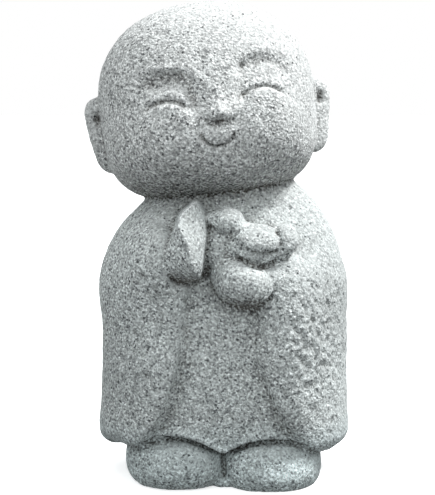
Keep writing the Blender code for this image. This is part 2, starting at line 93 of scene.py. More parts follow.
CREASES = (                         # a line of (across, height), its width and its depth
    # the hem, over the right foot and over the left
    (((-60, 23.4), (-54, 25.2), (-47, 30), (-40, 32.4), (-33, 32.6), (-24, 31.6),
      (-15, 28.9), (-7, 25.1), (0, 21.9)), 1.3, 2.1),
    (((0, 21.9), (7, 25.1), (16, 29), (25, 30.5), (33, 30.8), (41, 30), (48, 28.2), (54, 25),
      (60, 21.2)), 1.3, 2.1),
    # between the feet
    (((0.1, 25), (0.3, 18), (0.5, 10), (0.8, -4)), 1.2, 1.6),
    # under the bird's wing and under its belly
    (((9.4, 155.2), (12, 152.6), (17.4, 149.4), (24.2, 148.2), (30.6, 149.2),
      (34.6, 151.2)), 1.1, 2.3),
    (((6.5, 147.6), (9, 146.4), (16.2, 142.6), (23.4, 140.2), (28, 141.4), (35.5, 146.4),
      (42, 151.4)), 1.1, 1.9),
    # under the left hand, and under the raised right one
    (((1.4, 124), (3, 121.6), (7, 118.4), (12.4, 116.2), (18, 116.2), (23, 117.8), (28, 121.2),
      (30.4, 125.5)), 1.2, 2.1),
    (((-33, 137), (-31, 133), (-26.5, 129.6), (-20, 128.4), (-14, 130.6), (-9.8, 134.8),
      (-7.6, 142)), 1.3, 1.8),
    # the valleys beside the panel, left and right
    (((22.4, 76), (26.3, 65), (31.2, 53), (37.9, 41.5), (44, 34)), 1.6, 1.1),
    (((-25.3, 90), (-26.9, 76.6), (-30.3, 64.9), (-34.4, 53.2), (-40.2, 41.5),
      (-46.8, 33.1)), 1.7, 1.1),
    # between the bird's wing and its tail
    (((31.6, 163), (34.2, 159.5), (35, 155.5), (34.2, 151.6)), 1.1, 1.9),
)

SKIN_VOXEL = 0.9                    # the cubes that the forms are fused from
CREASE_PASSES = 6                   # how often the fused block is eased
TRIANGLES = 190_000                 # faces of the piece before its sole is cut flat

# ---- stone, light and camera ------------------------------------------------------------
GRAIN = 1.2                         # size of the feldspar and quartz grains
RAGGED = 0.9                        # and of the notches in their edges
FLAKE_APART = 3.0                   # how far apart flakes of black mica may be
CRUMB = 1.4                         # from one pit or crumb of the hammer to the next
COOL_TINT_TO = 200                       # height that the cool tint rises to from the ground

FLOOR_HALF = 6.0                    # metres
LAMP_PLACE = (0.95, 0.06, 1.46)     # metres: high up on the statue's left
LAMP_ACROSS = 0.42                  # metres
LAMP_WATTS = 33
BRIGHTEST = (-0.06, -0.28, 0.96)    # where the light all round comes from most
ALL_ROUND = 1.47                    # its strength
EYE_LEVEL = 7                       # degrees that the camera looks down
CAMERA_AWAY = 1.0                   # metres
CAMERA_AIM = (-3.4, 0, 145)
LENS, SENSOR = 113.45, 36


# ---- curves and surfaces ----------------------------------------------------------------
def through(at, stations, values):
    """A smooth curve through (station, value) pairs that never overshoots them: a cubic
    between neighbours, whose slope at each pair is the harmonic mean of the two beside it."""
    x = np.asarray(stations, float)
    y = np.asarray(values, float)
    at = np.clip(at, x[0], x[-1])
    span = np.diff(x)
    rise = np.diff(y) / span
    slope = np.zeros_like(y)
    both = rise[:-1] * rise[1:] > 0
    slope[1:-1][both] = 2 * rise[:-1][both] * rise[1:][both] / (rise[:-1] + rise[1:])[both]
    slope[0], slope[-1] = rise[0], rise[-1]
    i = np.clip(np.searchsorted(x, at, side="right") - 1, 0, len(span) - 1)
    t = (at - x[i]) / span[i]
    return (
        (1 + 2 * t) * (1 - t) ** 2 * y[i]
        + t * (1 - t) ** 2 * span[i] * slope[i]
        + t * t * (3 - 2 * t) * y[i + 1]
        + t * t * (t - 1) * span[i] * slope[i + 1]
    )


def turn_matrix(turn):
    """Three angles in degrees, about X, then Y, then Z, as a matrix."""
    return np.array(Euler([math.radians(a) for a in turn], "XYZ").to_matrix())


def turned(points, turn):
    """Points turned about the origin."""
    return points @ turn_matrix(turn).T


def sphere_grid(rings, sides):
    """Unit directions on a grid: rows from the south pole to the north, columns eastwards."""
    latitude = np.linspace(-math.pi / 2, math.pi / 2, rings)[:, None]
    longitude = np.linspace(0, 2 * math.pi, sides, endpoint=False)[None, :]
    return np.stack(
        [
            np.cos(latitude) * np.cos(longitude),
            np.cos(latitude) * np.sin(longitude),
            np.sin(latitude) + 0 * longitude,
        ],
        axis=-1,
    )


def squared_radius(direction, half, plan, profile):
    """Distance from the centre to a squared ellipsoid: the shares of its half sizes, raised
    to a power, add up to one on its surface. Plan and profile have a power each: two for an
    ellipse, and more for a squarer outline."""
    share = np.abs(direction / np.asarray(half))
    level = (share[..., 0] ** plan + share[..., 1] ** plan) ** (1 / plan)
    return (level ** profile + share[..., 2] ** profile) ** (-1 / profile)


def lobe(centre, half, turn=(0, 0, 0), plan=2.0, profile=2.0):
    """A squared ellipsoid as a grid of points."""
    direction = sphere_grid(73, 108)
    radius = squared_radius(direction, half, plan, profile)
    return turned(direction * radius[..., None], turn) + np.array(centre)


def squared_ring(angle, power):
    """A unit squared circle: cosine and sine, pulled out towards the corners."""
    reach = (np.abs(np.cos(angle)) ** power + np.abs(np.sin(angle)) ** power) ** (-1 / power)
    return np.cos(angle) * reach, np.sin(angle) * reach


def step(distance):
    """A smooth step: nought well below distance nought, a half there, and one well above."""
    return 0.5 + 0.5 * np.tanh(distance)


def bump(distance):
    """A smooth hump: one at distance nought, and falling to nothing as a bell does."""
    return np.exp(-distance ** 2)


def beyond(distance, width):
    """One past a line, and falling away on the near side of it: steep at the line itself and
    easing out over about the width."""
    return 1 - np.tanh(np.maximum(-distance, 0) / width)


def skin(name, rows):
    """A closed mesh over rows of points, the first and last row drawn in to a pole."""
    count, sides = rows.shape[:2]
    points = np.concatenate([rows[:1, 0], rows[1:-1].reshape(-1, 3), rows[-1:, 0]])
    ring = np.arange(sides)
    beside = np.roll(ring, -1)
    first = 1 + sides * np.arange(count - 3)[:, None]
    quads = np.stack(
        [first + ring, first + beside, first + sides + beside, first + sides + ring], axis=-1
    ).reshape(-1, 4)
    last = len(points) - 1
    foot = np.stack([np.zeros(sides, int), 1 + beside, 1 + ring], axis=-1)
    head = np.stack([np.full(sides, last), last - sides + ring, last - sides + beside], axis=-1)
    mesh = bpy.data.meshes.new(name)
    mesh.from_pydata((points * MM).tolist(), [], quads.tolist() + foot.tolist() + head.tolist())
    return mesh


def lattice(whole, seed):
    """A number from nought to one for each whole-number point in space, the same each time:
    its three coordinates times large primes, mixed by shifts and products."""
    mixed = whole[..., 0] * 73856093 ^ whole[..., 1] * 19349663 ^ whole[..., 2] * 83492791
    mixed = (mixed + seed * 2654435761) & 0xFFFFFFFF
    mixed = ((mixed ^ mixed >> 15) * 2246822519) & 0xFFFFFFFF
    mixed = ((mixed ^ mixed >> 13) * 3266489917) & 0xFFFFFFFF
    return (mixed ^ mixed >> 16) / 0xFFFFFFFF


def unevenness(points, size, seed):
    """Smooth noise from minus one to one whose lumps are about size across: the lattice
    numbers at the eight corners round a point, blended by a cubic of its place between."""
    at = points / size
    whole = np.floor(at).astype(np.int64)
    t = at - whole
    t = t * t * (3 - 2 * t)
    total = np.zeros(len(points))
    for corner in np.ndindex(2, 2, 2):
        near = np.array(corner)
        total += np.prod(np.where(near, t, 1 - t), axis=-1) * lattice(whole + near, seed)
    return 2 * total - 1


# ---- the forms --------------------------------------------------------------------------
def head():
    """The plain head in its own frame: a squared ellipsoid whose lower half is squarer, more
    so at the sides than in front."""
    direction = sphere_grid(145, 200)
    jowl = JOWL_POWER - 0.5 * step((-direction[..., 1] - 0.55) / 0.2)
    power = jowl + (CROWN_POWER - jowl) * step(direction[..., 2] * 8)
    local = direction * squared_radius(direction, HEAD_HALF, HEAD_PLAN, power)[..., None]
    return turned(turned(local, (HEAD_NOD, 0, 0)), HEAD_TURN) + np.array(HEAD_CENTRE)


def ear_place(side):
    """Where an ear sits and how it leans: its centre, and three angles."""
    out, back, up = EAR_MIDDLE
    centre = turned(np.array([side * out + 1.3, back, up]), HEAD_TURN) + np.array(HEAD_CENTRE)
    lean = (HEAD_TURN[0], HEAD_TURN[1] + 9.8 * side - 1.5, HEAD_TURN[2] + side * 20.0)
    return centre, lean


def ear(side):
    """A long flat ear with a squared lobe, set a little behind the middle of the head."""
    centre, lean = ear_place(side)
    return lobe(centre, EAR_HALF, lean, 2.9, 3.2)


def robe():
    """The robe with both sleeves. Each column runs from under the hem, round its rolled edge
    and up the wall to the neck; each ring is a squared ellipse whose left, right, front and
    back reach follow curves of the height. The front moves along its normals by the swell: the
    panel sinks between two valleys, and the shoulder, forearms and hem stand out in humps."""
    angle = np.linspace(0, 2 * math.pi, 420, endpoint=False)[None, :]
    c, s = squared_ring(angle, ROBE_POWER)
    front = step(-s / 0.06)
    side = np.clip((np.abs(c) * ROBE_HALF - 44) / 20, 0, 1)
    ahead_of = step(-s / 0.3)
    edge = through(c * ROBE_HALF, *HEM) * ahead_of + BACK_HEM * (1 - ahead_of)
    roll_out = 1.5 + 13 * side * front + 7 * (1 - front)
    roll_up = 1.5 + 11 * side * front + 6 * (1 - front)
    quarter = np.linspace(0, math.pi / 2, 14)[:, None]
    wall = np.linspace(0, 1, 180)[1:, None]
    low = edge + roll_up
    level = np.concatenate([low - roll_up * np.cos(quarter), low + (ROBE_TOP - low) * wall])
    inset = np.concatenate([roll_out * (1 - np.sin(quarter)), np.zeros_like(low * wall)])

    left = through(level, [32, 85, 124, 140, 153, 166, 175.6, 182, 187, 194],
                   [80.9, 79.3, 79.4, 75.6, 71.4, 64.8, 58.3, 52.2, 46, 40])
    right = through(level, [32, 60, 90, 124, 134, 143, 153, 163, 169, 174, 182, 194],
                    [79.8, 77.7, 76.9, 78.8, 77.2, 74.3, 69.3, 62.4, 56.5, 51.5, 45, 38])
    ahead = through(level, [20, 50, 80, 100, 125, 140, 155, 165, 175, 185, 194],
                    [66, 67, 65, 61.5, 56, 51, 46, 41, 34.5, 30, 27])
    behind = through(level, [20, 60, 110, 140, 160, 175, 194], [47, 48, 49, 48, 44, 38, 30])
    x = c * np.where(c > 0, left, right)
    y = s * np.where(s > 0, behind, ahead)

    right_valley = through(level, [28, 33, 42, 53, 65, 77, 90, 107, 121, 132],
                           [-52, -46.8, -40, -34.4, -30.3, -27, -25.3, -24, -21, -17])
    left_valley = through(level, [28, 33, 42, 53, 65, 77, 90, 102, 112, 122, 135],
                          [51, 46, 38, 31.2, 26.3, 22.5, 20.7, 20.7, 19, 15, 10])
    left_slope = through(level, [30, 50, 80], [2.5, 4.5, 6.0])
    panel = beyond(x - right_valley, 3.0) * beyond(left_valley - x, left_slope)
    depth = through(level, [20, 60, 90, 110, 125, 145], [12.5, 11, 8.5, 6.5, 4, 0])
    swell = (
        -depth * panel
        # the fold of the right sleeve at the wrist, and the forearm outside it
        + 13.5 * bump((x + 40) / 16) * bump((level - 147) / 22)
        + 3.0 * step((level - 106) / 8) * bump((x + 52) / 28) * step((150 - level) / 12)
        # the left forearm, running down into the sleeve
        + 11.0 * step((143 - level) / 5.5) * bump((x - 39.5) / 20)
        * through(level, [30, 60, 110], [0.15, 0.5, 1])
        # the hollow between the hands, and the rolled edge over the feet
        - 2.0 * bump((x + 4) / 12) * bump((level - 146) / 22)
        + 1.4 * bump((level - edge - 3) / 2.5) * step((52 - np.abs(x)) / 4)
    )
    flat = np.stack([x / left ** 2, y / ahead ** 2], axis=-1)
    flat /= np.linalg.norm(flat, axis=-1, keepdims=True)
    push = front * swell * np.minimum(1, 1.6 * np.abs(s)) - inset
    wall_rows = np.stack([x + push * flat[..., 0], y + push * flat[..., 1], level], axis=-1)
    foot = np.broadcast_to([0, 0, 20.0], wall_rows[:1].shape)
    neck = np.broadcast_to([0, 0, ROBE_TOP], wall_rows[:1].shape)
    return np.concatenate([foot, wall_rows, neck])


def feet():
    """Two plump feet, and the stone left between them behind their narrow cleft."""
    return [
        lobe((-27.3, -7.5, 13.8), (34.6, 50.8, 21.6), (0, 0, -2), 2.4, 2.5),
        lobe((28.5, -8.5, 12.5), (34.1, 51.5, 22.4), (0, 0, 2), 2.5, 2.7),
        lobe((0.5, -10, 3), (12, 37, 14)),
    ]


def raised_hand():
    """A hand held upright in its cuff, as a bar of six sides whose corners follow curves of
    the height: the crest in front, the crisp ridge beside it towards the bird, the palm, and
    the back of the hand, which runs out into the sleeved forearm. It comes to a point above,
    and is round below."""
    level = HAND_FOOT + HAND_TALL * np.linspace(0, 1, 130)[:, None] ** 1.3
    at = [129.3, 130.2, 132, 135, 139, 144, 151, 160, 167, 172, 176, 178.5, 180.2]
    crest_x = through(level, at, [-20, -18.6, -17.2, -17.6, -18.6, -19.6, -20.4, -23.6, -26.8,
                                  -25.8, -21.6, -18.8, -16.6])
    crest_y = through(level, at, [-46, -56, -62.5, -68, -72.5, -75, -76, -75.5, -73, -70.5,
                                  -67, -63, -57])
    ridge_x = through(level, at, [-20, -17, -14.8, -13.6, -13, -12.4, -11.4, -10.2, -11, -12.2,
                                  -14, -15, -16])
    ridge_y = through(level, at, [-45, -55, -60.5, -64.5, -66.5, -67, -65, -61.5, -58.5, -56.5,
                                  -56, -56, -55.5])
    palm_x = through(level, at, [-20, -16.5, -14, -12, -11, -10.2, -9.2, -8.8, -9.4, -10.6,
                                 -13, -14.4, -16])
    outer_x = through(level, at, [-20, -24, -28, -31.5, -34, -35, -34, -31, -28.6, -26.4,
                                  -21.8, -19.2, -16.6])
    outer_y = through(level, at, [-44, -51, -56, -60, -62.5, -63.5, -64, -64.5, -65, -64.5,
                                  -62, -59.5, -55])
    back = np.full_like(level, HAND_BACK)
    corners = [(crest_x, crest_y), (ridge_x, ridge_y), (palm_x, back - 8), (palm_x, back),
               (outer_x, back), (outer_x, outer_y)]
    corners = np.stack([np.concatenate(corner, axis=-1) for corner in corners], axis=1)
    forearm = lobe((-38.5, -41.5, 138), (14.5, 21.5, 27))
    return [bar(corners, level), forearm]


def bar(corners, level):
    """A closed bar: at each height straight sides between the corners, eased eight times, so
    that a corner is rounded over about a third of its side."""
    side = np.linspace(0, corners.shape[1], 24 * corners.shape[1], endpoint=False)
    first = side.astype(int)
    share = (side - first)[None, :, None]
    ring = corners[:, first] * (1 - share) + corners[:, (first + 1) % corners.shape[1]] * share
    for _ in range(8):
        ring = (np.roll(ring, 1, axis=1) + 2 * ring + np.roll(ring, -1, axis=1)) / 4
    height = np.broadcast_to(level[:, :, None], ring.shape[:2] + (1,))
    return np.concatenate([ring, height], axis=-1)


def cupped_hand():
    """A mitten of a hand that the bird sits in: its palm, its heel, the stone that joins it
    to the chest and to the bird's breast, and the fold of its sleeve behind."""
    return [
        lobe((13.0, -53, 129.8), (18.6, 20, 14.5), (0, 17, -6), 2.3, 2.3),
        lobe((27, -44.5, 129.6), (21, 18.5, 12.6), (0, -4, 8), 2.2, 2.3),
        lobe((-3, -41.5, 148), (12, 17, 20)),
        lobe((4.5, -46, 136), (14, 17, 15)),
        lobe((34.5, -41, 135.3), (16, 17, 12), (0, -34, 0)),
    ]


def bird():
    """A plump bird: body, breast, head, nape, beak, the near wing and the tail."""
    return [
        lobe((17.6, -48, 151.0), (17.4, 15.5, 11.8), (0, 6, 0), 2.3, 2.3),
        lobe((4, -43, 156), (12.5, 14.8, 15), (0, -14, 0)),
        lobe((3.2, -50, 166.9), (9.9, 10.8, 9.0)),
        lobe((10, -50.5, 161.5), (8, 10, 7)),
        lobe((-4.0, -47.5, 168.4), (8.6, 8.5, 5.0), (0, -8, 0)),
        lobe((20.6, -56, 157.0), (13.6, 11.5, 6.8), (34, 6, 4), 2.5, 2.4),
        lobe((33.0, -48, 153.4), (13.8, 12.8, 8.6), (12, -34, 4), 2.2, 2.9),
    ]


# ---- carving ----------------------------------------------------------------------------
def ring_about(across, height, centre):
    """How far a point of the face is from a centre, and its direction from straight up."""
    right, up = across - centre[0], height - centre[1]
    return np.hypot(right, up), np.arctan2(right, up)


def eye(across, height, centre, brow, deep, plump, sweep, crisp):
    """One closed, smiling eye, as heights over the plain head. The cheek stands out inside a
    ring and bulges in a wide dome. The lashes are a groove along the ring, wider by the nose,
    for the given sweep to each side of straight up, and the lid is a roll above them. The
    brow is a low ridge round a hollow, whose edge is a cubic arch of the given height. Deep
    scales the brow and the lid, plump is the dome's height, and crisp sharpens the cheek's
    edge by the nose."""
    reach, bearing = ring_about(across, height, centre)
    arch = np.abs((across - centre[0] - 1.5) / 17.5) ** 3 + np.abs((height - 3) / brow) ** 3
    arch = arch ** (1 / 3)
    fade = 0.08 + 0.16 * step((13 - np.abs(across)) / 3) + 0.16 * step((np.abs(across) - 38) / 4)
    lid = 9.2 - 12 * step((19 - np.abs(across)) / 2.5)
    ends = step((46 - np.abs(across)) / 5)
    hollow = step((1 - arch) / fade) * step((height - lid) / 4) * ends
    ridge = bump((arch - 1.16) / 0.13) * step((height - 8) / 4) * ends
    inner = -np.sign(centre[0]) * bearing
    soft = 5 * (1 - np.cos(bearing)) * (1 - crisp * bump((inner - 1.6) / 0.55))
    cheek = step((17.4 - reach) / (1.3 + soft))
    dome = bump(np.hypot((across - centre[0]) / 24, (height - centre[1] + 6.5) / 23))
    lashes = bump((reach - LASH_RING) / (1.2 + 0.5 * step((inner - 0.45) / 0.1)))
    lashes = lashes * step((sweep + 0.1 * (inner > 0) - np.abs(bearing)) / 0.08)
    roll = bump((reach - 22.4) / 3) * step((sweep + 0.1 - np.abs(bearing)) / 0.3)
    brows = deep * (1.1 * ridge + 0.8 * roll - 5.0 * hollow)
    return brows + 2.1 * cheek + plump * dome - 2.1 * lashes


def face_relief(across, height):
    """How far the face stands out from the plain head: two eyes, a button nose at the foot
    of its bridge and a nick under it, a full upper lip, the smile, a groove bent like a bow,
    and the left brow, a groove too. Smile and brow have a drilled dot at one end."""
    across = across - FACE_MIDDLE
    width = through(height, [-12, -2, 6, 14, 22], [6.6, 7.4, 11.5, 16.5, 21])
    bridge = bump((across + 1.2) / width)
    eyes = (
        eye(across, height, RIGHT_EYE, brow=15.8, deep=0.95, plump=3.0, sweep=0.70, crisp=1.0)
        + eye(across, height, LEFT_EYE, brow=21.0, deep=0.4, plump=0.9, sweep=0.76, crisp=0.0)
    )
    nose = bridge * (3.3 * step((height + 11.2) / 1.5) * np.clip((22 - height) / 28, 0, 1))
    button = (
        3.3 * bump((across + 0.8) / 6.6) * bump((height + 6.8) / 4.8)
        - 1.3 * bump((across + 1.4) / 6.6) * bump((height + 14.0) / 2.8)
    )
    lip = 1.6 * bump(across / 9) * bump((height + 21.4) / 6)
    reach, bearing = ring_about(across, height, SMILE_MIDDLE)
    smile = bump((reach - SMILE_RING) / 0.9) * step((np.abs(bearing + 0.06) - 1.93) / 0.08)
    reach, bearing = ring_about(across, height, BROW_MIDDLE)
    brow = bump((reach - BROW_RING) / (2.2 + 2.4 * step((0.1 - bearing) / 0.2)))
    brow = brow * step((0.8 - np.abs(bearing)) / 0.12) * (1.05 + 0.65 * step((27 - across) / 3))
    dots = bump(np.hypot(across + 12.2, height + 20.6) / 1.6)
    dots = dots + bump(np.hypot(across - 17.0, height - 19.6) / 1.4)
    return eyes * (1 - 0.9 * bridge) + nose + button + lip - 3.2 * smile - 2.4 * dots - brow


def carve_face(points):
    """The face cut into the fused block: points on the front of the head move along the
    line from the head's centre by the height of the relief there."""
    back = turn_matrix(HEAD_TURN)
    local = (points - HEAD_CENTRE) @ back
    across, depth, height = local.T
    outward = local / np.linalg.norm(local, axis=-1, keepdims=True)
    front = step((-depth - 26) / 6) * step((height + 44) / 4)
    moved = local + outward * (front * face_relief(across, height))[:, None]
    return moved @ back.T + HEAD_CENTRE


def gap_to(x, z, path):
    """How far points of the front are from a line of straight pieces through the given
    places, seen from the front, and how far along the line they are, from nought to one."""
    path = np.asarray(path, float)
    spot = np.stack([x, z], axis=-1)
    best = np.full(len(x), np.inf)
    along = np.zeros(len(x))
    for i in range(len(path) - 1):
        run = path[i + 1] - path[i]
        t = np.clip((spot - path[i]) @ run / (run @ run), 0, 1)
        gap = np.linalg.norm(spot - path[i] - t[:, None] * run, axis=-1)
        near = gap < best
        best[near], along[near] = gap[near], ((i + t) / (len(path) - 1))[near]
    return best, along


def creases(points):
    """How deep the point chisel went along the edges of the forms on the front: round the
    wing, under the bird, round the hands, between the feet and along the hem."""
    x, y, z = points.T
    total = np.zeros(len(points))
    for path, width, depth in CREASES:
        gap, along = gap_to(x, z, path)
        total += depth * bump(gap / width) * np.clip(12 * along * (1 - along), 0, 1)
    return total * step((-y - 36) / 3)


def carve_creases(points, normals):
    """The creases cut in along the normals."""
    return points - normals * creases(points)[:, None]


def carve_ears(points):
    """A hollow sunk in the front of each ear, inside a rolled rim, and deepest at a pit near
    its top, where the drill went in."""
    for side in (-1, 1):
        centre, lean = ear_place(side)
        back = turn_matrix(lean)
        local = (points - centre) @ back
        across, depth, height = local.T
        across = across * side
        near = step((-depth - 1) / 1.5) * step(14 - np.abs(depth))
        shell = np.hypot((across - 3.2) / 6.2, (height - 2) / 18.5)
        pit = np.hypot((across - 3.6) / 2.1, (height - 10.5) / 3.6)
        sink = 0.7 * step((1 - shell) / 0.25) + 4.2 * bump(pit)
        points = points + np.where(near > 0.01, near * sink, 0)[:, None] * back[:, 1]
    return points


# ---- one block --------------------------------------------------------------------------
def fused(name, meshes, voxel):
    """The meshes made one closed skin by Blender's voxel remesh: overlapping stone has to
    become one surface, which no single formula gives."""
    joined = bmesh.new()
    for mesh in meshes:
        joined.from_mesh(mesh)
    whole = bpy.data.meshes.new(name)
    joined.to_mesh(whole)
    joined.free()
    block = bpy.data.objects.new(name, whole)
    bpy.context.scene.collection.objects.link(block)
    remesh = block.modifiers.new("fuse", "REMESH")
    remesh.mode = "VOXEL"
    remesh.voxel_size = voxel * MM
    graph = bpy.context.evaluated_depsgraph_get()
    solid = bpy.data.meshes.new_from_object(block.evaluated_get(graph))
    bpy.data.objects.remove(block)
    return solid


def points_of(mesh):
    """A mesh's points as rows, in millimetres."""
    flat = np.zeros(len(mesh.vertices) * 3)
    mesh.vertices.foreach_get("co", flat)
    return flat.reshape(-1, 3) / MM


def set_points(mesh, points):
    """Puts rows of millimetres back into a mesh."""
    mesh.vertices.foreach_set("co", (points * MM).ravel())
    mesh.update()


def normals_of(mesh):
    """The direction outwards at each point of a mesh."""
    flat = np.zeros(len(mesh.vertices) * 3)
    mesh.vertices.foreach_get("normal", flat)
    return flat.reshape(-1, 3)


def neighbours(mesh):
    """The two ends of each edge, and how many edges meet at each point."""
    ends = np.zeros(len(mesh.edges) * 2, int)
    mesh.edges.foreach_get("vertices", ends)
    a, b = ends.reshape(-1, 2).T
    return a, b, np.bincount(ends, minlength=len(mesh.vertices))[:, None]


def middles(values, a, b, count):
    """For each point, the mean of a value over its neighbours."""
    return np.stack(
        [
            np.bincount(a, values[b, k], len(values)) + np.bincount(b, values[a, k], len(values))
            for k in range(values.shape[1])
        ],
        axis=-1,
    ) / count


def eased(mesh, passes, share):
    """Corners and edges rounded: in each pass a point moves part of the way to the middle of
    its neighbours, by a share that the caller gives for each point."""
    points = points_of(mesh)
    a, b, count = neighbours(mesh)
    for _ in range(passes):
        points += share[:, None] * (middles(points, a, b, count) - points)
    set_points(mesh, points)
    return mesh


def softness(points):
    """How much each point may be eased: most on the sleeves and back, least on the hands,
    the bird and round the hem."""
    x, y, z = points.T
    detail = bump((x - 6) / 36) * bump((z - 150) / 34) * (y < -30)
    return 0.5 * (1 - 0.75 * np.maximum(detail, bump((z - 24) / 12)))


def hammered(points):
    """How far the bush hammer left the skin from its true shape: broad unevenness, lumps of
    a few millimetres, far less on the hands and the bird, here and there a pit below the
    shoulder line, and on the left sleeve a patch where coarse chips broke away."""
    x, y, z = points.T
    broad = 0.35 * unevenness(points, 21, 1) + 0.2 * unevenness(points, 9, 2)
    lumps = 0.17 * unevenness(points, 4.2, 3) + 0.16 * unevenness(points, 2.4, 4)
    small = bump((x - 8) / 32) * bump((z - 152) / 28) * step((-y - 38) / 4)
    patch = bump((x - 55) / 27) * bump((z - 94) / 42) * step((-y - 10) / 12)
    chips = unevenness(points, 3.6, 5) + 0.7 * unevenness(points, 2.0, 6)
    below = step((SHOULDERS - z) / 4)
    pits = step((unevenness(points, 3.2, 7) - 0.72) / 0.06) * (1 - small) * below
    return (broad + lumps) * (1 - 0.8 * small) + 1.25 * patch * chips - 0.9 * pits


def cut_flat(mesh):
    """The stone below the sole is cut away, and the cut closed with one flat face."""
    shape = bmesh.new()
    shape.from_mesh(mesh)
    everything = shape.verts[:] + shape.edges[:] + shape.faces[:]
    cut = bmesh.ops.bisect_plane(
        shape, geom=everything, dist=1e-6, plane_co=(0, 0, 0), plane_no=(0, 0, -1), clear_outer=True
    )
    rim = [item for item in cut["geom_cut"] if isinstance(item, bmesh.types.BMEdge)]
    bmesh.ops.contextual_create(shape, geom=rim)
    bmesh.ops.triangulate(shape, faces=shape.faces[:])
    bmesh.ops.recalc_face_normals(shape, faces=shape.faces[:])
    shape.to_mesh(mesh)
    shape.free()
    return mesh


def painted_shade_and_dirt(mesh):
    """How much painted shade, with some dirt, darkens each point, from nought to one. It is a sum
    of shares: painted shade in hollows, found as the distance out to a wide mean of the neighbours,
    and on undersides; painted shade with some dirt under the chin; and painted shadows below both
    hands, in the slot between the raised one and the bird, and along the left sleeve's valley."""
    a, b, count = neighbours(mesh)
    points = points_of(mesh)
    normals = normals_of(mesh)
    smooth = points.copy()
    hollow = np.zeros(len(points))
    # painted shade: the deeper a point lies below a wide mean of its neighbours, the darker it is
    # painted
    for passes, full, share in ((8, 0.6, 1.0), (24, 2.2, 0.75)):
        for _ in range(passes):
            smooth = middles(smooth, a, b, count)
        depth = ((smooth - points) * normals).sum(-1)[:, None]
        for _ in range(3):
            depth = middles(depth, a, b, count)
        hollow = np.maximum(hollow, share * np.clip(depth[:, 0] / full, 0, 1))
    x, y, z = points.T
    # painted shade on faces turned down, and painted shade with some dirt under the chin
    under = np.clip(-normals[:, 2], 0, 1) ** 1.5
    chin = bump((z - 182) / 9) * step((-y - 10) / 6) * np.clip(0.6 - normals[:, 2], 0, 1)
    # painted shadows in the slot beside the raised hand, beside the left sleeve's valley and below
    # both hands
    slot = bump((x + 8) / 3.0) * bump((z - 147) / 17)
    below = bump((x - 18) / 14) * bump((z - 117) / 6) + bump((x + 20) / 12) * bump((z - 130) / 5)
    beside = bump((x - through(z, [42, 54, 77, 110], [38, 34, 27, 24])) / 7) * bump((z - 76) / 36)
    below = below * np.clip(0.35 - normals[:, 2], 0, 1)
    painted_shadows = (0.12 * slot + 0.1 * beside + 0.6 * below) * step((-y - 44) / 3)
    return np.clip(0.62 * hollow + 0.45 * under + 0.3 * chin + painted_shadows, 0, 1)


def lamp_facing_share(mesh):
    """How much each point's colour is evened as painted light, from nought where the skin is
    upright or faces down, to one where it faces up and to the left, towards the lamp. The ears get
    nearly the full share all over."""
    x, _, z = points_of(mesh).T
    ears = step((np.abs(x + 9) - 69) / 1.5) * (z > SHOULDERS)
    return np.maximum(step((normals_of(mesh) @ (0.5, 0.0, 0.7) - 0.33) / 0.25), 0.8 * ears)


def paleness(mesh):
    """How much paler or darker than the rest each point is, as a factor: one, with a hump added or
    taken away for each place. The toe of the left foot is scuffed palest of all, inside a ragged
    oval. The fingertips of the raised hand are painted light, paler where the chin's shade falls on
    them. Face, left ear, chest, the bird's belly and the left cuff are a little paler. The outside
    of the right sleeve, away from the lamp, and the left elbow are darkened as painted shade, and
    the bird's wing and the feet are a little darker."""
    points = points_of(mesh)
    x, y, z = points.T
    worn = np.hypot((x - 40.5) / 16, (z - 13.6) / 6.2) + 0.2 * unevenness(points, 4, 8)
    toe = step((1 - worn) / 0.2) * step((-y - 36) / 4)
    # painted shade on the outside of the right sleeve, away from the lamp
    right_sleeve_shade = bump((x + 68) / 26) * bump((z - 68) / 42) * step((-y - 10) / 10)
    # painted shade on the left elbow, where its surface turns under
    elbow_shade = bump((x - 70) / 24) * bump((z - 112) / 30)
    cuff = bump((x - 58) / 20) * bump((z - 50) / 28) * step((-y - 10) / 10)
    feet = step((31 - z) / 4) * (1 - toe)
    chest = bump((x - 2) / 30) * bump((z - 168) / 14) * step((-y - 20) / 6)
    face = bump((z - 234) / 32) * bump((x + 8) / 50) * step((-y - 14) / 8)
    left_ear = step((x - 58) / 2) * (z > SHOULDERS)
    # painted light on the fingertips, which lie in the chin's shade
    fingertip_light = bump((x + 19) / 7) * bump((z - 176) / 9) * step((-y - 52) / 3)
    belly = bump((x - 27) / 17) * bump((z - 147) / 9) * step((-y - 45) / 3)
    wing = bump((x - 22) / 22) * bump((z - 158) / 14) * step((-y - 50) / 3)
    return (1 + 0.2 * face + 0.8 * toe + 0.15 * chest + 0.22 * left_ear + 0.3 * fingertip_light
            + 0.3 * belly + 0.1 * cuff - 0.24 * right_sleeve_shade - 0.17 * elbow_shade - 0.19 * wing - 0.04 * feet)


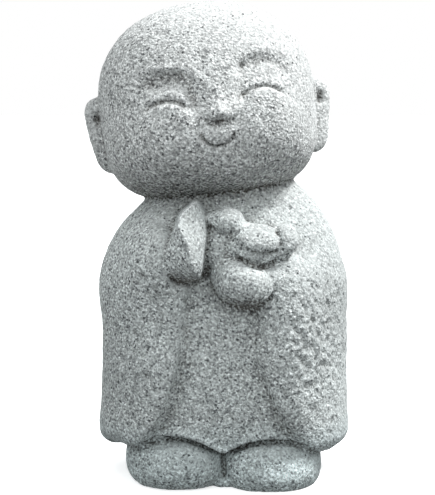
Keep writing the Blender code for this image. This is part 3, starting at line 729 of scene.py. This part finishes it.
def statue():
    """All the forms fused, eased, carved and hammered, thinned to the stated number of
    faces, and cut flat."""
    forms = [head(), ear(-1), ear(1), robe(), *feet(), *raised_hand(), *cupped_hand(), *bird()]
    meshes = [skin(f"form_{i:02d}", rows) for i, rows in enumerate(forms)]
    block = fused("block", meshes, SKIN_VOXEL)
    block = eased(block, CREASE_PASSES, softness(points_of(block)))
    set_points(block, carve_ears(carve_face(points_of(block))))
    set_points(block, carve_creases(points_of(block), normals_of(block)))
    points = points_of(block)
    set_points(block, points + normals_of(block) * hammered(points)[:, None])
    stone = bpy.data.objects.new("jizo_granite", block)
    bpy.context.scene.collection.objects.link(stone)
    thin = stone.modifiers.new("thin", "DECIMATE")
    triangles = len(block.loops) - 2 * len(block.polygons)
    thin.ratio = min(1, TRIANGLES / triangles)
    graph = bpy.context.evaluated_depsgraph_get()
    stone.data = cut_flat(bpy.data.meshes.new_from_object(stone.evaluated_get(graph)))
    stone.modifiers.clear()
    stone.data.shade_smooth()
    looks = {"shade_and_grime": painted_shade_and_dirt, "lamp_facing": lamp_facing_share, "paleness": paleness}
    for name, look in looks.items():
        values = look(stone.data)
        stone.data.attributes.new(name, "FLOAT", "POINT").data.foreach_set("value", values)
    stone.data.materials.clear()
    stone.data.materials.append(bush_hammered_granite())
    return stone


# ---- materials --------------------------------------------------------------------------
def linear(code):
    """An sRGB hex colour as linear red, green, blue and alpha."""
    values = [int(code[i:i + 2], 16) / 255 for i in (1, 3, 5)]
    return [v / 12.92 if v <= 0.04045 else ((v + 0.055) / 1.055) ** 2.4 for v in values] + [1.0]


def add(tree, kind, sockets=None, ramp=None, **settings):
    """Adds one node: its settings, its sockets, each linked to another node's output or
    given a value, and the stops of its colour ramp."""
    node = tree.nodes.new(kind)
    for key, value in settings.items():
        setattr(node, key, value)
    for key, value in (sockets or {}).items():
        if isinstance(value, bpy.types.NodeSocket):
            tree.links.new(value, node.inputs[key])
        else:
            node.inputs[key].default_value = value
    if ramp:
        stops = node.color_ramp.elements
        while len(stops) < len(ramp):
            stops.new(1.0)
        for stop, (place, code) in zip(stops, ramp):
            stop.position = place
            stop.color = linear(code) if isinstance(code, str) else (code, code, code, 1.0)
    return node


def per_mm(size):
    """The scale that makes a pattern's cells that many millimetres across."""
    return 1 / (size * MM)


def bush_hammered_granite():
    """Grey granite of feldspar, quartz and black mica, dressed with a bush hammer: a mineral for
    each grain, times the pale dust of each crumb and the painted shade of each pit, times painted
    shade with some dirt, and a cool tint low down."""
    # The block was chiselled to shape and then struck all over with a bush hammer, whose points
    # crush the grains. So it is matt and never glints, each grain can be told from the next, and
    # the skin is pale with dust on its crumbs, with painted shade dark in its pits.
    material = bpy.data.materials.new("bush_hammered_granite")
    material.use_nodes = True
    tree = material.node_tree
    tree.nodes.clear()
    place = add(tree, "ShaderNodeTexCoord").outputs["Object"]

    # grains 1.2 mm across, with ragged edges: the place is shifted by up to 0.4 mm
    ragged = add(tree, "ShaderNodeTexNoise", {"Vector": place, "Scale": per_mm(RAGGED),
                                              "Detail": 1.0})
    shift = add(tree, "ShaderNodeVectorMath", {0: ragged.outputs["Color"], 1: (0.5, 0.5, 0.5)},
                operation="SUBTRACT")
    shift = add(tree, "ShaderNodeVectorMath", {0: shift.outputs[0], "Scale": GRAIN * MM},
                operation="SCALE")
    grainy = add(tree, "ShaderNodeVectorMath", {0: place, 1: shift.outputs[0]}).outputs[0]
    grains = add(tree, "ShaderNodeTexVoronoi", {"Vector": grainy, "Scale": per_mm(GRAIN)})
    kind = add(tree, "ShaderNodeSeparateColor", {"Color": grains.outputs["Color"]})
    mineral = add(tree, "ShaderNodeValToRGB", {"Fac": kind.outputs["Red"]}, ramp=[
        (0.0, "#505253"), (0.06, "#747677"), (0.12, "#a0a2a2"), (0.4, "#b6b8b7"),
        (0.6, "#c6c9c8"), (0.85, "#d8dbda"), (1.0, "#f2f4f3")])
    # painted light: where the stone faces up and towards the lamp, its grains are blended towards
    # one even grey, so the lit side looks flatter
    lamp_facing = add(tree, "ShaderNodeAttribute", attribute_name="lamp_facing").outputs["Fac"]
    lamp_side_mix = add(tree, "ShaderNodeMath", {0: lamp_facing, 1: 0.55}, operation="MULTIPLY").outputs[0]
    lamp_side_evened = add(tree, "ShaderNodeMix", {0: lamp_side_mix, 6: mineral.outputs["Color"],
                                         7: linear("#bbbdbc")}, data_type="RGBA", blend_type="MIX")
    # black mica: in about a third of the 3 mm cells one flake, up to 1.6 mm across
    sparse = add(tree, "ShaderNodeTexVoronoi", {"Vector": grainy, "Scale": per_mm(FLAKE_APART)})
    which = add(tree, "ShaderNodeSeparateColor", {"Color": sparse.outputs["Color"]})
    reach = add(tree, "ShaderNodeMapRange", {"Value": which.outputs["Red"], "From Min": 0.7,
                                             "From Max": 1.0, "To Min": 0.0, "To Max": 0.27})
    flake = add(tree, "ShaderNodeMath", {0: sparse.outputs["Distance"], 1: reach.outputs["Result"]},
                operation="LESS_THAN")
    flaked = add(tree, "ShaderNodeMix", {0: flake.outputs[0], 6: lamp_side_evened.outputs[2],
                                         7: linear("#4a4b4c")}, data_type="RGBA", blend_type="MIX")
    # the hammer crushed the surface into pits and crumbs 1.4 mm apart: the crumbs are pale with
    # stone dust and the pits carry painted shade, both less so on the side facing the lamp
    crushed = add(tree, "ShaderNodeTexNoise", {"Vector": place, "Scale": per_mm(CRUMB),
                                               "Detail": 1.0, "Roughness": 0.5}).outputs["Fac"]
    low = add(tree, "ShaderNodeMath", {0: lamp_facing, 1: 0.2, 2: 0.58}, operation="MULTIPLY_ADD")
    high = add(tree, "ShaderNodeMath", {0: lamp_facing, 1: -0.2, 2: 1.4}, operation="MULTIPLY_ADD")
    dust_and_pit_shade = add(tree, "ShaderNodeMapRange", {
        "Value": crushed, "From Min": 0.3, "From Max": 0.7, "To Min": low.outputs[0],
        "To Max": high.outputs[0]})
    pale = add(tree, "ShaderNodeAttribute", attribute_name="paleness").outputs["Fac"]
    pale = add(tree, "ShaderNodeMath", {0: dust_and_pit_shade.outputs["Result"], 1: pale}, operation="MULTIPLY")
    stone = add(tree, "ShaderNodeMix", {0: 1.0, 6: flaked.outputs[2], 7: pale.outputs[0]},
                data_type="RGBA", blend_type="MULTIPLY")
    # painted shade in hollows and below things, with some brownish dirt, strongest in the pits
    shade_and_grime = add(tree, "ShaderNodeAttribute", attribute_name="shade_and_grime").outputs["Fac"]
    pit = add(tree, "ShaderNodeMapRange", {"Value": crushed, "From Min": 0.35, "From Max": 0.65,
                                           "To Min": 1.6, "To Max": 0.4})
    shade_and_dirt_in_pits = add(tree, "ShaderNodeMath", {0: shade_and_grime, 1: pit.outputs["Result"]},
                  operation="MULTIPLY", use_clamp=True)
    shaded_and_stained = add(tree, "ShaderNodeMix", {0: shade_and_dirt_in_pits.outputs[0], 6: stone.outputs[2],
                                          7: linear("#6e6862")},
                  data_type="RGBA", blend_type="MULTIPLY")
    # a faint cool tint, strongest at the feet and none above the neck
    height = add(tree, "ShaderNodeSeparateXYZ", {"Vector": place}).outputs["Z"]
    share = add(tree, "ShaderNodeMapRange", {"Value": height, "From Max": COOL_TINT_TO * MM})
    cool_tint = add(tree, "ShaderNodeValToRGB", {"Fac": share.outputs["Result"]}, ramp=[
        (0.0, "#f3fdfe"), (0.15, "#f5fdfe"), (0.22, "#fafefe"), (0.87, "#fbfefe"),
        (1.0, "#ffffff")])
    cooled = add(tree, "ShaderNodeMix", {0: 1.0, 6: shaded_and_stained.outputs[2], 7: cool_tint.outputs["Color"]},
                 data_type="RGBA", blend_type="MULTIPLY")
    shader = add(tree, "ShaderNodeBsdfPrincipled", {"Roughness": 0.85, "Specular IOR Level": 0.3})
    tree.links.new(cooled.outputs[2], shader.inputs["Base Color"])
    # the crumbs and pits stand up to 1.2 mm high, and half as high on the side facing the lamp
    worn = add(tree, "ShaderNodeMath", {0: lamp_facing, 1: -0.5, 2: 1.0}, operation="MULTIPLY_ADD")
    relief = add(tree, "ShaderNodeBump", {"Height": crushed, "Strength": worn.outputs[0],
                                          "Distance": 1.2 * MM})
    tree.links.new(relief.outputs["Normal"], shader.inputs["Normal"])
    add(tree, "ShaderNodeOutputMaterial", {"Surface": shader.outputs["BSDF"]})
    return material


def plain_floor():
    """A board sprayed with matt white paint: smooth, with no reflection, only soft shade."""
    # it glows a little, so that it runs into the backdrop
    material = bpy.data.materials.new("pale_floor")
    material.use_nodes = True
    shader = material.node_tree.nodes["Principled BSDF"]
    for socket, value in {"Base Color": linear("#f8f9f9"), "Roughness": 0.9,
                          "Emission Color": linear("#ffffff"), "Emission Strength": 0.55}.items():
        shader.inputs[socket].default_value = value
    return material


# ---- studio -----------------------------------------------------------------------------
def aimed(thing, target):
    """Turns a camera or light to look at a point."""
    thing.rotation_mode = "QUATERNION"
    thing.rotation_quaternion = (Vector(target) - thing.location).to_track_quat("-Z", "Y")


def studio():
    """A wide pale floor, a soft lamp high on the statue's left, light from all round, and
    the camera, a little above the middle of the statue and looking down on it."""
    scene = bpy.context.scene
    scene.view_settings.view_transform = "Standard"
    plate = bpy.data.meshes.new("floor")
    corners = [(FLOOR_HALF * i, FLOOR_HALF * j, 0) for i, j in ((-1, -1), (1, -1), (1, 1), (-1, 1))]
    plate.from_pydata(corners, [], [(0, 1, 2, 3)])
    plate.materials.append(plain_floor())
    floor = bpy.data.objects.new("floor", plate)
    scene.collection.objects.link(floor)
    floor.visible_diffuse = False
    floor.visible_shadow = False

    lamp = bpy.data.lights.new("key", "AREA")
    lamp.shape = "DISK"
    lamp.size = LAMP_ACROSS
    lamp.energy = LAMP_WATTS
    key = bpy.data.objects.new("key", lamp)
    scene.collection.objects.link(key)
    key.location = LAMP_PLACE
    aimed(key, (0, 0, 0.15))

    world = bpy.data.worlds.new("studio")
    scene.world = world
    world.use_nodes = True
    tree = world.node_tree
    tree.nodes.clear()
    way = add(tree, "ShaderNodeTexCoord").outputs["Generated"]
    # brightest overhead and a little to the front, and dim from below
    height = add(tree, "ShaderNodeVectorMath", {0: way, 1: BRIGHTEST}, operation="DOT_PRODUCT")
    share = add(tree, "ShaderNodeMapRange", {"Value": height.outputs["Value"], "From Min": -1.0,
                                             "From Max": 1.0})
    sky = add(tree, "ShaderNodeValToRGB", {"Fac": share.outputs["Result"]}, ramp=[
        (0.0, "#7c7f80"), (0.3, "#6c6f70"), (0.45, "#626567"), (0.54, "#8c9091"),
        (0.68, "#b0b3b4"), (0.84, "#eef0f1"), (1.0, "#eef0f1")])
    lit = add(tree, "ShaderNodeBackground", {"Color": sky.outputs["Color"],
                                             "Strength": ALL_ROUND})
    seen = add(tree, "ShaderNodeBackground", {"Color": (1, 1, 1, 1), "Strength": 1.0})
    path = add(tree, "ShaderNodeLightPath").outputs["Is Camera Ray"]
    both = add(tree, "ShaderNodeMixShader", {0: path, 1: lit.outputs[0], 2: seen.outputs[0]})
    add(tree, "ShaderNodeOutputWorld", {"Surface": both.outputs[0]})

    down = math.radians(EYE_LEVEL)
    aim = Vector(CAMERA_AIM) * MM
    camera = bpy.data.objects.new("camera", bpy.data.cameras.new("camera"))
    scene.collection.objects.link(camera)
    camera.data.sensor_width = SENSOR
    camera.data.lens = LENS
    camera.location = aim + CAMERA_AWAY * Vector((0, -math.cos(down), math.sin(down)))
    aimed(camera, aim)
    scene.camera = camera


studio()
jizo = statue()
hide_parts("jizo_statue")
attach(jizo, "root")
